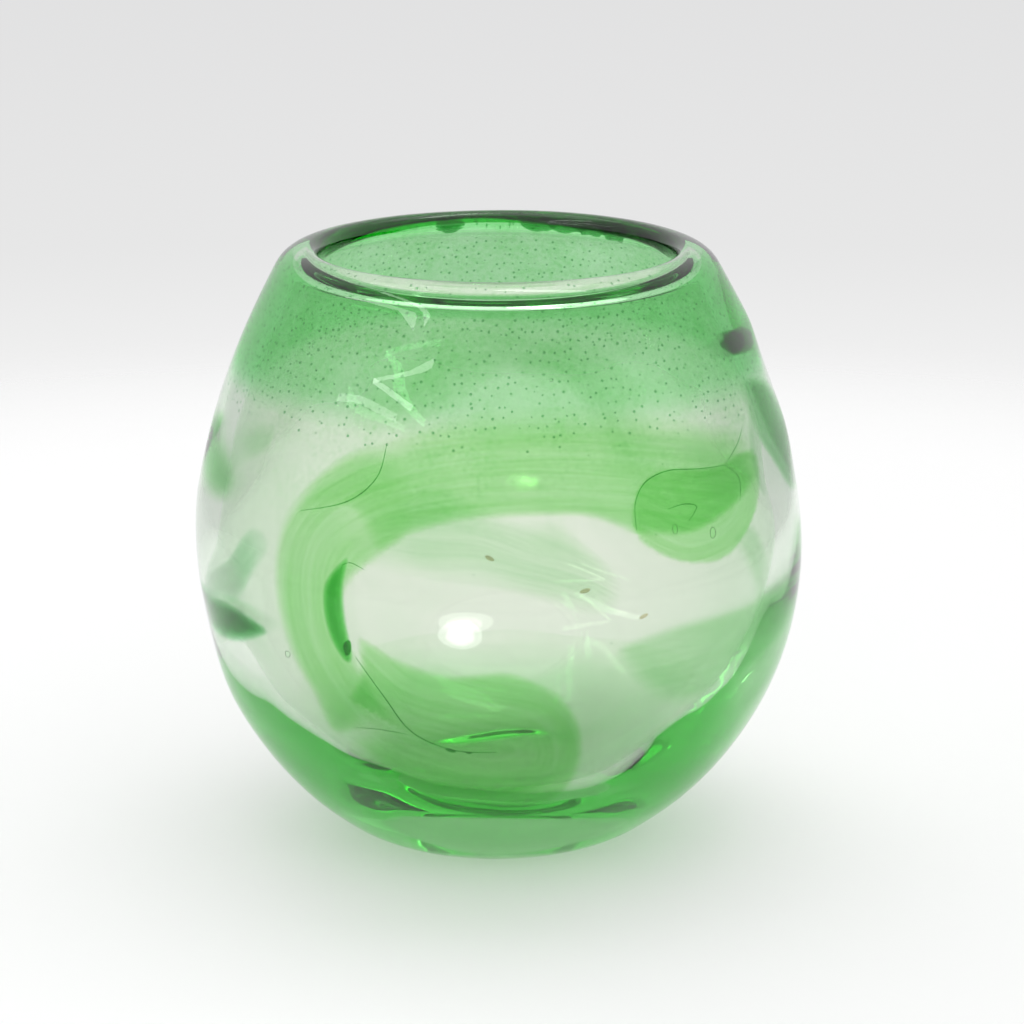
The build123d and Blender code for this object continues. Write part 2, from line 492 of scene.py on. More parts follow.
skin = {
    "around": 160,
    "spacing": 0.0014,
    "seed": 4.0,
    "waves": 0.0008,  # height of the unevenness on the casing
    "liningShare": 0.5,
    "fineShare": 0.2,
    "broad": 22,
    "fine": 60,
    "calmFoot": 0.012,  # how far the waves take to die out at the foot and the lip
    "calmLip": 0.02,
}
foot = {"flat": 0.025, "rise": 0.004}


def lathe(name, profile):
    first = profile[0]
    bpy.ops.object.select_all(action="DESELECT")
    bpy.ops.mesh.primitive_plane_add(size=0.002, location=(0, 0, 0))
    piece = bpy.context.object
    piece.name = name
    editing(piece)
    bpy.ops.mesh.select_all(action="SELECT")
    bpy.ops.mesh.merge(type="CENTER")
    bpy.ops.transform.translate(value=(first[0], 0, first[1]))
    for here, there in zip(profile, profile[1:]):
        step = (there[0] - here[0], 0, there[1] - here[1])
        bpy.ops.mesh.extrude_region_move(TRANSFORM_OT_translate={"value": step})
    bpy.ops.mesh.select_all(action="SELECT")
    bpy.ops.mesh.spin(steps=skin["around"], angle=2 * math.pi, center=(0, 0, 0), axis=(0, 0, 1))
    bpy.ops.mesh.select_all(action="SELECT")
    bpy.ops.mesh.remove_doubles(threshold=2e-6)
    bpy.ops.mesh.normals_make_consistent(inside=False)
    doneEditing()
    return piece


def lipArc(first, last):
    return [((crestRadius, body["height"] - lipRadius), lipRadius, first, last)]


def between(start, end, count):
    return [(start[0] + (end[0] - start[0]) * k / count, start[1] + (end[1] - start[1]) * k / count)
            for k in range(1, count)]


lumps = [  # (turn from the front, height, reach, how far out), pushed in or out by hand tools
    (-84, 0.094, 0.024, 0.0006), (-78, 0.055, 0.022, -0.0007), (-70, 0.040, 0.020, 0.0004),
    (90, 0.131, 0.011, 0.0004), (88, 0.119, 0.012, -0.0004), (86, 0.104, 0.014, 0.0004),
    (84, 0.090, 0.012, -0.0003), (60, 0.052, 0.030, 0.0003), (-20, 0.095, 0.030, 0.0003),
    (20, 0.070, 0.030, -0.0003), (150, 0.080, 0.030, 0.0006), (-140, 0.060, 0.028, 0.0005),
    (180, 0.110, 0.022, -0.0004),
]


def polishedVerts(piece):
    flags = np.ones(len(piece.data.vertices), bool)
    for face in piece.data.polygons:
        if face.material_index == 1:
            flags[list(face.vertices)] = False
    return flags


def handWorked(piece, amount):
    # polished skin only: broad waves, a few lumps, nothing at the ground flat
    coords = placeOf(piece)
    normals = np.empty(len(coords) * 3)
    piece.data.vertices.foreach_get("normal", normals)
    normals = normals.reshape(-1, 3)
    moved = coords.copy()
    for k in np.nonzero(polishedVerts(piece))[0]:
        place = Vector(coords[k])
        ease = min(1.0, max(0.0, place.z / skin["calmFoot"]))
        ease *= min(1.0, max(0.15, (body["height"] - place.z) / skin["calmLip"]))
        wave = noise.noise(place * skin["broad"] + Vector((skin["seed"], 0, 0))) * amount
        wave += noise.noise(place * skin["fine"]) * amount * skin["fineShare"]
        for turn, height, reach, out in lumps:
            angle = math.radians(turn)
            radius = wallRadius(height, 0, 0)
            centre = Vector((radius * math.sin(angle), -radius * math.cos(angle), height))
            gap = (place - centre).length / reach
            if gap < 1.6:
                wave += out * math.exp(-2.2 * gap * gap) * (amount / skin["waves"])
        moved[k] = place + Vector(normals[k]) * wave * ease
    setPlace(piece, moved)


def markFused(piece, skinLine, seamLine):
    # a face belongs to the seam when its middle lies nearer the seam's line than the skin's
    piece.data.materials.append(polished)
    piece.data.materials.append(fused)
    centres = np.array([tuple(face.center) for face in piece.data.polygons])
    inPlane = np.column_stack([np.hypot(centres[:, 0], centres[:, 1]), centres[:, 2]])
    inPlane[:, 0] += inPlane[:, 0] * (1 - math.cos(math.pi / skin["around"]))
    toSkin = nearestOn(np.array(skinLine), inPlane, False)[0]
    toSeam = nearestOn(np.array(seamLine), inPlane, False)[0]
    for face, isFused in zip(piece.data.polygons, toSeam < toSkin):
        face.material_index = int(isFused)


def easedFoot(bowlStart):
    # a short curve from the ground flat up into the bowl
    flat, rest = foot["flat"], body["rest"]
    return [(flat + 2 * t * (1 - t) * (rest - flat) + t * t * (bowlStart[0] - flat), t * t * bowlStart[1])
            for t in (0.2, 0.4, 0.6, 0.8)]


def makeClearGlass():
    spacing = skin["spacing"]
    ledge = math.degrees(math.asin((lipRadius - liningDepth) / lipRadius))
    seamUp = pointsOn(innerBowl(liningDepth, liningFloor) + upperArcs(liningDepth), spacing)
    bowl = [point for point in pointsOn(outerBowl() + upperArcs(0), spacing) if point[1] > foot["rise"]]
    flatEdge = (foot["flat"], 0)
    outer = [(0, 0)] + between((0, 0), flatEdge, 12) + [flatEdge] + easedFoot(bowl[0]) + bowl
    outer += pointsOn(lipArc(90, 180 - ledge), spacing / 3)[1:]
    cavity = pointsOn(innerBowl(wall, cavityFloor) + upperArcs(wall), spacing)
    cavity += pointsOn(lipArc(270, 180 - ledge), spacing / 3)[1:]
    pieces = []
    for name, node, skinLine, share in (("casingGlass", "outer_casing", outer, 1),
                                        ("liningGlass", "clear_lining", cavity, skin["liningShare"])):
        seam = [skinLine[-1]] + between(skinLine[-1], seamUp[-1], 3) + seamUp[::-1]
        piece = lathe(name, skinLine + seam[1:])
        markFused(piece, skinLine, seam)
        handWorked(piece, skin["waves"] * share)
        smoothed(piece, 50)
        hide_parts(node)
        pieces.append(piece)
    return pieces


polished, fused = polishedGlass(), fusedFace()
casing, lining = makeClearGlass()
print("clear glass:", len(casing.data.polygons), len(lining.data.polygons), "faces")


# ribbons in the wall

midDepth = body["cover"] + body["colour"] / 2
midFloor = body["baseCover"] + body["pool"] / 2


def fromShares(points):
    return np.array([(across * body["radius"], up * body["height"]) for across, up in points])


def laidOnWall(flat, facing, depth, floor):
    # from a flat front view to the curved surface at a depth in the wall
    turn = math.radians(facing)
    placed = np.empty((len(flat), 3))
    for k, (across, up) in enumerate(flat):
        radius = wallRadius(up, depth, floor)
        out = math.sqrt(max(radius**2 - across**2, 1e-8))
        placed[k] = (across * math.cos(turn) + out * math.sin(turn),
                     across * math.sin(turn) - out * math.cos(turn), up)
    return placed


def cutSheet(name, loop, cell):
    # a flat grid trimmed to a closed outline
    low, high = loop.min(0), loop.max(0)
    count = np.maximum(((high - low) / cell).astype(int), 4)
    bpy.ops.object.select_all(action="DESELECT")
    bpy.ops.mesh.primitive_grid_add(x_subdivisions=int(count[0]), y_subdivisions=int(count[1]), size=1)
    piece = bpy.context.object
    piece.name = name
    flat = placeOf(piece)[:, :2] + 0.5
    flat = low + flat * (high - low)
    gap = nearestOn(loop, flat, True)[0]
    keep = insideLoop(loop, flat) | (gap < 0.4 * cell)
    setPlace(piece, np.column_stack([flat, np.zeros(len(flat))]))
    choose(piece, ~keep)
    bpy.ops.mesh.delete(type="VERT")
    doneEditing()
    return piece


def sheetFullness(flat, away, gap, look):
    # 1 where the ribbon has its whole thickness, falling to 0 at its edges
    lean = np.where(gap > 1e-6, -away[:, 1] / np.maximum(gap, 1e-6), 0)  # 1 under an upper edge
    soft = look["lowerEdge"] + (look["upperEdge"] - look["lowerEdge"]) * (0.5 + 0.5 * lean)
    fullness = smoothSteps(gap / soft)
    patches = np.array([0.5 + 0.5 * noise.noise(Vector((*p, 0)) * 70) for p in flat])
    fullness *= 1 - look.get("thin", 0) * patches
    return fullness


def storeFlow(piece, along, across):
    uv = piece.data.uv_layers[0] if piece.data.uv_layers else piece.data.uv_layers.new()
    uv.name = "flow"
    for corner in piece.data.loops:
        uv.data[corner.index].uv = (along[corner.vertex_index], across[corner.vertex_index])


def thickenBy(piece, fullness, thickness):
    bodyShare = piece.data.attributes.new("body", "FLOAT", "POINT")
    bodyShare.data.foreach_set("value", fullness ** 0.3)
    group = piece.vertex_groups.new(name="fullness")
    for k, value in enumerate(fullness):
        group.add([k], max(float(value), 0.03), "REPLACE")
    editing(piece)
    bpy.ops.mesh.select_all(action="SELECT")
    bpy.ops.mesh.delete_loose()
    doneEditing()
    thicken = piece.modifiers.new("thickness", "SOLIDIFY")
    thicken.thickness = thickness
    thicken.offset = 0
    thicken.vertex_group = "fullness"
    applyModifiers(piece)


def wallRibbon(name, look):
    loop = closedCurve(fromShares(look["outline"]))
    cell = look.get("cell", 0.0009)
    piece = cutSheet(name, loop, cell)
    flat = placeOf(piece)[:, :2]
    gap, rimPlace, _, _ = nearestOn(loop, flat, True)
    rim = (gap < 0.62 * cell) | ~insideLoop(loop, flat)
    flat[rim] = rimPlace[rim]
    gap[rim] = 0
    fullness = sheetFullness(flat, flat - rimPlace, gap, look)
    guide = openCurve(fromShares(look["flow"]))
    across, _, along, side = nearestOn(guide, flat, False)
    length = np.linalg.norm(np.diff(guide, axis=0), axis=1).sum()
    start, end = look.get("fades", (0, 0))
    if start:
        fullness *= smoothSteps(along / start)
    if end:
        fullness *= smoothSteps((length - along) / end)
    storeFlow(piece, along, across * side)
    setPlace(piece, laidOnWall(flat, look.get("facing", 0), look.get("depth", midDepth), midFloor))
    thickenBy(piece, fullness, look.get("thickness", 0.00125))
    faceOutward(piece)
    smoothed(piece, 80)
    piece.data.materials.append(look["glass"])
    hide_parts(look["node"])
    return piece


# name, colour of the glass, how strongly it colours, palest and deepest streak
lime = streakyGlass("limeRibbonGlass", (0.22, 0.84, 0.12), 620, (0.94, 0.99, 0.92), (0.66, 0.90, 0.58))
leaf = streakyGlass("leafRibbonGlass", (0.12, 0.72, 0.20), 800, (0.88, 0.97, 0.86), (0.56, 0.84, 0.54))
mist = streakyGlass("mistRibbonGlass", (0.36, 0.80, 0.36), 520, (0.96, 0.99, 0.95), (0.78, 0.92, 0.76))
deep = streakyGlass("deepRibbonGlass", (0.02, 0.66, 0.14), 1500, (0.50, 0.86, 0.58), (0.28, 0.68, 0.36))
rich = streakyGlass("richRibbonGlass", (0.02, 0.78, 0.04), 950, (0.62, 0.92, 0.58), (0.40, 0.80, 0.38))

ribbons = {
    "archRibbon": {
        "node": "arch_ribbon", "slot": "streaky_green_glass", "glass": lime,
        "lowerEdge": 0.0020, "upperEdge": 0.0075, "thin": 0.25, "fades": (0.025, 0.006),
        "outline": [
            (-0.62, 0.645), (-0.48, 0.735), (-0.33, 0.771), (-0.16, 0.807), (0.0, 0.822),
            (0.21, 0.823), (0.42, 0.805), (0.62, 0.773), (0.76, 0.735), (0.80, 0.66), (0.62, 0.61),
            (0.42, 0.622), (0.37, 0.634), (0.27, 0.655), (0.13, 0.66), (-0.08, 0.655), (-0.25, 0.63),
            (-0.36, 0.60), (-0.45, 0.66)],
        "flow": [(-0.56, 0.63), (-0.38, 0.70), (-0.10, 0.74), (0.20, 0.745), (0.50, 0.72), (0.85, 0.66)],
    },
    "rightCurlRibbon": {
        "node": "right_curl_ribbon", "slot": "streaky_green_glass", "glass": lime,
        "lowerEdge": 0.0013, "upperEdge": 0.0013, "thickness": 0.0010, "thin": 0.3,
        "outline": [
            (0.41, 0.63), (0.42, 0.69), (0.50, 0.714), (0.66, 0.703), (0.79, 0.705),
            (0.805, 0.62), (0.72, 0.562), (0.60, 0.561), (0.48, 0.59)],
        "flow": [(0.30, 0.68), (0.45, 0.63), (0.60, 0.59), (0.74, 0.61), (0.76, 0.68), (0.60, 0.69)],
    },
    "leftBendRibbon": {
        "node": "left_bend_ribbon", "slot": "streaky_green_glass", "glass": lime,
        "lowerEdge": 0.0026, "upperEdge": 0.0034, "thickness": 0.0011, "thin": 0.35,
        "fades": (0.025, 0.010),
        "outline": [
            (-0.635, 0.645), (-0.676, 0.59), (-0.683, 0.526), (-0.666, 0.464), (-0.623, 0.40),
            (-0.566, 0.35), (-0.50, 0.285), (-0.38, 0.30), (-0.25, 0.30), (-0.345, 0.369),
            (-0.43, 0.438), (-0.462, 0.504), (-0.433, 0.55), (-0.34, 0.595), (-0.25, 0.64),
            (-0.28, 0.74), (-0.40, 0.752), (-0.53, 0.712)],
        "flow": [(-0.24, 0.71), (-0.40, 0.68), (-0.53, 0.63), (-0.59, 0.56), (-0.58, 0.46),
                 (-0.50, 0.37), (-0.36, 0.29)],
    },
    "lowerLobeRibbon": {
        "node": "lower_lobe_ribbon", "slot": "streaky_green_glass", "glass": lime,
        "lowerEdge": 0.0020, "upperEdge": 0.0024, "thickness": 0.0012, "thin": 0.45,
        "fades": (0.010, 0.012),
        "outline": [
            (-0.42, 0.465), (-0.30, 0.437), (-0.15, 0.415), (0.01, 0.422), (0.10, 0.41),
            (0.20, 0.375), (0.26, 0.31), (0.25, 0.235), (0.18, 0.18), (0.05, 0.155),
            (-0.12, 0.153), (-0.27, 0.168), (-0.41, 0.225), (-0.50, 0.29), (-0.42, 0.40)],
        "flow": [(-0.48, 0.48), (-0.30, 0.39), (-0.10, 0.36), (0.12, 0.33), (0.16, 0.25), (0.0, 0.21),
                 (-0.25, 0.23), (-0.45, 0.28)],
    },
    "lowerRightRibbon": {
        "node": "lower_right_ribbon", "slot": "streaky_green_glass", "glass": mist, "facing": 50,
        "lowerEdge": 0.006, "upperEdge": 0.003, "thin": 0.4,
        "outline": [
            (-0.45, 0.44), (-0.28, 0.472), (-0.05, 0.476), (0.25, 0.478), (0.60, 0.485),
            (0.80, 0.50), (0.84, 0.44), (0.60, 0.39), (0.28, 0.375), (0.05, 0.345),
            (-0.12, 0.315), (-0.30, 0.35)],
        "flow": [(-0.50, 0.40), (-0.20, 0.41), (0.10, 0.42), (0.45, 0.44), (0.90, 0.47)],
    },
    "rightEdgeRibbon": {
        "node": "right_edge_ribbon", "slot": "streaky_green_glass", "glass": leaf, "facing": 78,
        "lowerEdge": 0.003, "upperEdge": 0.003, "thin": 0.3,
        "outline": [
            (-0.13, 0.80), (0.03, 0.79), (0.20, 0.74), (0.34, 0.66), (0.26, 0.585),
            (0.08, 0.60), (-0.04, 0.66), (-0.12, 0.72)],
        "flow": [(-0.15, 0.80), (0.05, 0.72), (0.18, 0.66), (0.22, 0.58)],
    },
    "leftUpperRibbon": {
        "node": "left_upper_ribbon", "slot": "streaky_green_glass", "glass": mist, "facing": -84,
        "lowerEdge": 0.006, "upperEdge": 0.007, "thin": 0.3,
        "outline": [
            (0.34, 0.67), (0.10, 0.705), (-0.25, 0.70), (-0.50, 0.66), (-0.46, 0.61),
            (-0.15, 0.62), (0.12, 0.60), (0.32, 0.615)],
        "flow": [(0.40, 0.64), (0.0, 0.66), (-0.30, 0.66), (-0.55, 0.63)],
    },
    "leftLowerRibbon": {
        "node": "left_lower_ribbon", "slot": "deep_green_glass", "glass": deep, "facing": -76,
        "lowerEdge": 0.0035, "upperEdge": 0.0030, "thickness": 0.00125, "thin": 0.0,
        "fades": (0.008, 0.050),
        "outline": [
            (0.46, 0.44), (0.28, 0.462), (0.05, 0.452), (-0.25, 0.45), (-0.55, 0.47),
            (-0.58, 0.41), (-0.25, 0.375), (0.05, 0.385), (0.30, 0.40)],
        "flow": [(0.55, 0.43), (0.2, 0.425), (-0.2, 0.415), (-0.62, 0.44)],
    },
    "backArchRibbon": {
        "node": "back_arch_ribbon", "slot": "streaky_green_glass", "glass": mist, "facing": 180,
        "lowerEdge": 0.008, "upperEdge": 0.010, "thickness": 0.0007, "thin": 0.4, "fades": (0.03, 0.03),
        "outline": [
            (-0.62, 0.55), (-0.50, 0.70), (-0.25, 0.78), (0.05, 0.79), (0.35, 0.73),
            (0.58, 0.60), (0.55, 0.50), (0.40, 0.53), (0.22, 0.63), (0.0, 0.68),
            (-0.22, 0.66), (-0.38, 0.58), (-0.47, 0.49)],
        "flow": [(-0.60, 0.48), (-0.50, 0.60), (-0.30, 0.70), (0.0, 0.735), (0.30, 0.68), (0.52, 0.55)],
    },
    "backLowerRibbon": {
        "node": "back_lower_ribbon", "slot": "streaky_green_glass", "glass": mist, "facing": 180,
        "lowerEdge": 0.007, "upperEdge": 0.006, "thickness": 0.0008, "thin": 0.3, "fades": (0.02, 0.02),
        "outline": [
            (-0.46, 0.33), (-0.25, 0.40), (0.0, 0.41), (0.25, 0.46), (0.48, 0.44),
            (0.52, 0.35), (0.30, 0.31), (0.05, 0.27), (-0.22, 0.24), (-0.42, 0.25)],
        "flow": [(-0.50, 0.28), (-0.20, 0.32), (0.10, 0.35), (0.35, 0.38), (0.55, 0.40)],
    },
}
made = [wallRibbon(name, look) for name, look in ribbons.items()]
print("ribbons:", sum(len(piece.data.polygons) for piece in made), "faces")


# the mottled shoulder and the green pool of the base

thinnest = 0.00004  # of a shell that runs out to nothing
frit = {"low": 0.1155, "full": 0.124, "thickness": 0.00125, "lipGap": 0.0031}
pool = {"reach": 0.0575, "full": 0.042, "thickness": 0.0022, "middle": 0.5}


def shellProfile(line, thicknessAt):
    points = np.array(line)
    run = np.gradient(points, axis=0)
    run /= np.linalg.norm(run, axis=1)[:, None]
    out = np.column_stack([run[:, 1], -run[:, 0]])
    half = np.array([thicknessAt(*point) for point in line])[:, None] / 2
    outer, inner = points + out * half, points - out * half
    loop = [tuple(point) for point in outer] + [tuple(point) for point in inner[::-1]]
    return loop + [loop[0]]


def fritThickness(radius, height):
    return frit["thickness"] * float(
        smoothSteps((height - frit["low"]) / (frit["full"] - frit["low"]))) + thinnest


def poolThickness(radius, height):
    return pool["thickness"] * float(
        smoothSteps((pool["reach"] - radius) / (pool["reach"] - pool["full"]))
        * (pool["middle"] + (1 - pool["middle"]) * smoothSteps((radius - 0.012) / 0.024))) + thinnest


def makeFrit():
    line = [point for point in pointsOn(upperArcs(midDepth), 0.0012)
            if frit["low"] < point[1] < body["height"] - frit["lipGap"]]
    piece = lathe("shoulderFrit", shellProfile(line, fritThickness))
    smoothed(piece, 60)
    piece.data.materials.append(mottledGlass("mottledShoulderGlass", (0.08, 0.86, 0.20), 420, {
        "Clear": (0.98, 1, 0.98, 1), "Dense": (0.78, 0.95, 0.78, 1),
        "Start": 0.113, "Full": 0.134, "Ragged": 0.020}))
    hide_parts("shoulder_frit")
    return piece


def makePool():
    bowl = pointsOn(innerBowl(midDepth, midFloor), 0.0014)
    line = [point for point in bowl if point[0] < pool["reach"]]
    loop = shellProfile(line, poolThickness)
    loop[0] = loop[-1] = (0, loop[0][1])
    loop[-2] = (0, loop[-2][1])
    piece = lathe("basePool", loop)
    smoothed(piece, 60)
    piece.data.materials.append(cloudyGlass(
        "poolGlass", (0.05, 0.82, 0.08), 135, (0.99, 1, 0.98), (0.93, 0.98, 0.92),
        (28, 28, 160), {"Scale": 1, "Detail": 4, "Distortion": 1.2}))
    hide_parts("base_pool")
    return piece


fritShell, poolLens = makeFrit(), makePool()
print("frit and pool made")


# folds, knots, chips and flecks

small = {
    "darkCrescent": {
        "node": "dark_crescent", "slot": "deep_green_glass", "glass": rich, "cell": 0.0004,
        "lowerEdge": 0.0018, "upperEdge": 0.0018, "thickness": 0.0018, "depth": 0.0023,
        "outline": [(-0.450, 0.588), (-0.520, 0.548), (-0.530, 0.50), (-0.505, 0.45), (-0.462, 0.418),
                    (-0.436, 0.43), (-0.456, 0.49), (-0.462, 0.54)],
        "flow": [(-0.47, 0.58), (-0.49, 0.51), (-0.455, 0.44)],
    },
    "rightEdgeBit": {
        "node": "right_edge_bit", "slot": "deep_green_glass", "glass": deep, "cell": 0.0005, "facing": 74,
        "lowerEdge": 0.0010, "upperEdge": 0.0010, "thickness": 0.0015, "depth": 0.0021,
        "outline": [(-0.17, 0.874), (0.0, 0.882), (0.16, 0.858), (0.10, 0.838), (-0.10, 0.846)],
        "flow": [(-0.2, 0.86), (0.2, 0.86)],
    },
}
made += [wallRibbon(name, look) for name, look in small.items()]

threads = [  # (thickest radius, line as shares of the widest radius and the height)
    (0.00020, [(-0.43, 0.43), (-0.345, 0.369), (-0.257, 0.308), (-0.13, 0.28), (0.0, 0.278)]),
    (0.00016, [(-0.33, 0.765), (-0.36, 0.714), (-0.448, 0.673), (-0.60, 0.645)]),
    (0.00015, [(0.425, 0.63), (0.42, 0.67), (0.45, 0.70), (0.52, 0.712), (0.62, 0.705), (0.70, 0.70)]),
    (0.00014, [(0.52, 0.655), (0.57, 0.658), (0.61, 0.65), (0.585, 0.63)]),
    (0.00012, [(-0.43, 0.303), (-0.36, 0.306), (-0.27, 0.303)]),
    (0.00012, [(0.70, 0.70), (0.74, 0.725), (0.755, 0.745)]),
    (0.00012, [(0.70, 0.70), (0.745, 0.675), (0.75, 0.64)]),
    (0.00010, [(-0.47, 0.575), (-0.44, 0.58), (-0.40, 0.572)]),
]


def wallThread(name, thickest, line):
    flat = openCurve(fromShares(line), 8)
    placed = laidOnWall(flat, 0, midDepth - 0.0009, midFloor)
    curve = bpy.data.curves.new(name, "CURVE")
    curve.dimensions = "3D"
    curve.bevel_depth = thickest
    curve.bevel_resolution = 1
    curve.use_fill_caps = True
    strand = curve.splines.new("POLY")
    strand.points.add(len(placed) - 1)
    for k, place in enumerate(placed):
        share = k / (len(placed) - 1)
        strand.points[k].co = (*place, 1)
        strand.points[k].radius = 0.25 + 0.75 * math.sin(math.pi * min(0.96, max(0.04, share))) ** 0.6
    piece = bpy.data.objects.new(name, curve)
    scene.collection.objects.link(piece)
    only(piece)
    bpy.ops.object.convert(target="MESH")
    return bpy.context.object


def joined(name, pieces):
    bpy.ops.object.select_all(action="DESELECT")
    for piece in pieces:
        piece.select_set(True)
    bpy.context.view_layer.objects.active = pieces[0]
    bpy.ops.object.join()
    whole = bpy.context.object
    whole.name = name
    whole.data.name = name
    settle(whole)
    return whole


foldLook = {
    "glass": ((0.01, 0.66, 0.05), 1900, (0.36, 0.76, 0.36)),
    "knotDepth": 0.0022,
    "knots": [(-0.455, 0.443, (0.0011, 0.0005, 0.0020)), (-0.140, 0.279, (0.0013, 0.0005, 0.0005)),
              (-0.085, 0.276, (0.0008, 0.0004, 0.0003))],
}
chipLook = {
    "glass": ((0.02, 0.62, 0.14), 900, (0.40, 0.74, 0.46)),
    # turn from the front, and half length
    "turns": [(140, 0.0050), (149, 0.0055), (157, 0.0055), (167, 0.0050), (196, 0.0040)],
    "outward": 0.0010,
    "belowLip": 0.0036,
    "thick": 0.0009,
    "high": 0.0010,
}
fleckLook = {
    "glass": ((0.62, 0.48, 0.25), 350, (0.86, 0.80, 0.64)),
    "places": [(0.446, 0.494, -20), (0.266, 0.545, -12), (-0.02, 0.60, 30)],  # across, up, tilt
    "half": (0.0012, 0.0004, 0.0005),
}
pebble = {"segments": 20, "rings": 12, "uneven": 0.28, "scale": 500}

threadGlass = plainDeep("foldThreadGlass", *foldLook["glass"])
folds = joined("foldThreads", [wallThread("fold%d" % k, *thread) for k, thread in enumerate(threads)])
folds.data.materials.append(threadGlass)
smoothed(folds, 60)


def pebbles(name, places, glass):
    # small melted grains, each a squashed and turned ball
    balls = []
    for place, size, turn in places:
        bpy.ops.mesh.primitive_uv_sphere_add(
            segments=pebble["segments"], ring_count=pebble["rings"], radius=1, location=place)
        ball = bpy.context.object
        ball.scale = size
        ball.rotation_euler = turn
        settle(ball)
        coords = placeOf(ball)
        middle = coords.mean(0)
        for k, at in enumerate(coords):
            bulge = noise.noise(Vector(at) * pebble["scale"]) * pebble["uneven"]
            coords[k] = middle + (at - middle) * (1 + bulge)
        setPlace(ball, coords)
        balls.append(ball)
    whole = joined(name, balls)
    bpy.ops.object.shade_smooth()
    whole.data.materials.append(glass)
    return whole


def onWall(turn, height, depth):
    angle = math.radians(turn)
    radius = wallRadius(height, depth, midFloor)
    return Vector((radius * math.sin(angle), -radius * math.cos(angle), height))


def onFront(across, up, depth):
    flat = np.array([(across * body["radius"], up * body["height"])])
    return tuple(laidOnWall(flat, 0, depth, midFloor)[0])


knotPlaces = [(onFront(across, up, foldLook["knotDepth"]), size, (0, 0.2, math.asin(across)))
              for across, up, size in foldLook["knots"]]
knots = pebbles("foldKnots", knotPlaces, threadGlass)
folds = joined("foldThreads", [folds, knots])
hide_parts("fold_threads")

chipPlaces = []
for turn, long in chipLook["turns"]:
    angle = math.radians(turn)
    reach = crestRadius + chipLook["outward"]
    spot = (reach * math.sin(angle), -reach * math.cos(angle), body["height"] - chipLook["belowLip"])
    chipPlaces.append((spot, (long, chipLook["thick"], chipLook["high"]), (0, 0, angle)))
chips = pebbles("lipChips", chipPlaces, plainDeep("chipGlass", *chipLook["glass"]))
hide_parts("lip_frit_chips")

fleckPlaces = []
for across, up, tilt in fleckLook["places"]:
    turned = (0, math.radians(tilt), math.asin(across))
    fleckPlaces.append((onFront(across, up, midDepth), fleckLook["half"], turned))
flecks = pebbles("amberFlecks", fleckPlaces, plainDeep("amberGlass", *fleckLook["glass"]))
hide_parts("amber_flecks")
print("folds, chips and flecks made")


# bubbles

seeds = {
    "rows": 15,
    "low": 0.114,
    "high": 0.1462,
    "spacing": 0.0024,
    "filled": 0.85,  # share of the places that hold a bubble
    "fullAbove": 0.124,
    "fadeFrom": 0.104,
    "fadeOver": 0.020,
    "depth": (0.0018, 0.0044),
    "size": (0.00018, 0.00038),
    "strays": 90,
    "strayHeight": (0.03, 0.12),
    "strayDepth": (0.0015, 0.005),
    "straySize": (0.00008, 0.00018),
}
bigLook = {
    "depth": 0.0016,
    "bubbles": [(35, 0.0933, (0.0008, 0.0006, 0.0012)), (44, 0.0905, (0.0008, 0.0006, 0.0013)),
                (-42, 0.0615, (0.0009, 0.0006, 0.0009)), (12, 0.129, (0.0005, 0.0005, 0.0005))],
}


def seedPlaces():
    rng = np.random.default_rng(7)
    spots, sizes = [], []
    for row, height in enumerate(np.linspace(seeds["low"], seeds["high"], seeds["rows"])):
        thin = 1 if height > seeds["fullAbove"] else (height - seeds["fadeFrom"]) / seeds["fadeOver"]
        girth = 2 * math.pi * wallRadius(height, midDepth, midFloor)
        count = int(girth / seeds["spacing"])
        for k in range(count):
            if rng.random() > seeds["filled"] * thin:
                continue
            turn = 360 * (k + 0.5 * (row % 2) + rng.normal(0, 0.2)) / count
            spots.append(onWall(turn, height + rng.normal(0, 0.0004), rng.uniform(*seeds["depth"])))
            sizes.append(rng.uniform(*seeds["size"]))
    for k in range(seeds["strays"]):
        turn, height = rng.uniform(0, 360), rng.uniform(*seeds["strayHeight"])
        spots.append(onWall(turn, height, rng.uniform(*seeds["strayDepth"])))
        sizes.append(rng.uniform(*seeds["straySize"]))
    return spots, sizes


def makeSeeds():
    spots, sizes = seedPlaces()
    bpy.ops.mesh.primitive_ico_sphere_add(subdivisions=1, radius=1)
    ball = bpy.context.object
    shape = placeOf(ball)
    faces = np.array([tuple(face.vertices) for face in ball.data.polygons])
    coords = np.concatenate([shape * size + np.array(spot) for spot, size in zip(spots, sizes)])
    corners = np.concatenate([faces + k * len(shape) for k in range(len(spots))])
    mesh = bpy.data.meshes.new("seedBubbles")
    mesh.from_pydata(coords.tolist(), [], corners.tolist())
    bpy.data.objects.remove(ball)
    piece = bpy.data.objects.new("seedBubbles", mesh)
    scene.collection.objects.link(piece)
    only(piece)
    bpy.ops.object.shade_smooth()
    # painted shade: the seed bubbles' green middle and near-black rim
    mesh.materials.append(bubbleGlass("seedBubble", (0.46, 0.78, 0.52), (0.02, 0.20, 0.07)))
    print("seed bubbles:", len(spots))
    return piece


seedBubbles = makeSeeds()
bigPlaces = [(tuple(onWall(turn, height, bigLook["depth"])), size, (0, 0, math.radians(turn)))
             for turn, height, size in bigLook["bubbles"]]
# painted shade: a near-black rim by view angle round a pale middle
bigGlass = bubbleGlass("largeBubble", (0.90, 1, 0.90), (0.002, 0.06, 0.01))
bigBubbles = pebbles("largeBubbles", bigPlaces, bigGlass)

for piece in [casing, lining, fritShell, poolLens, folds, chips, flecks, seedBubbles, bigBubbles, *made]:
    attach(piece, "root")


# the room: a pale floor that fades into a soft white tent

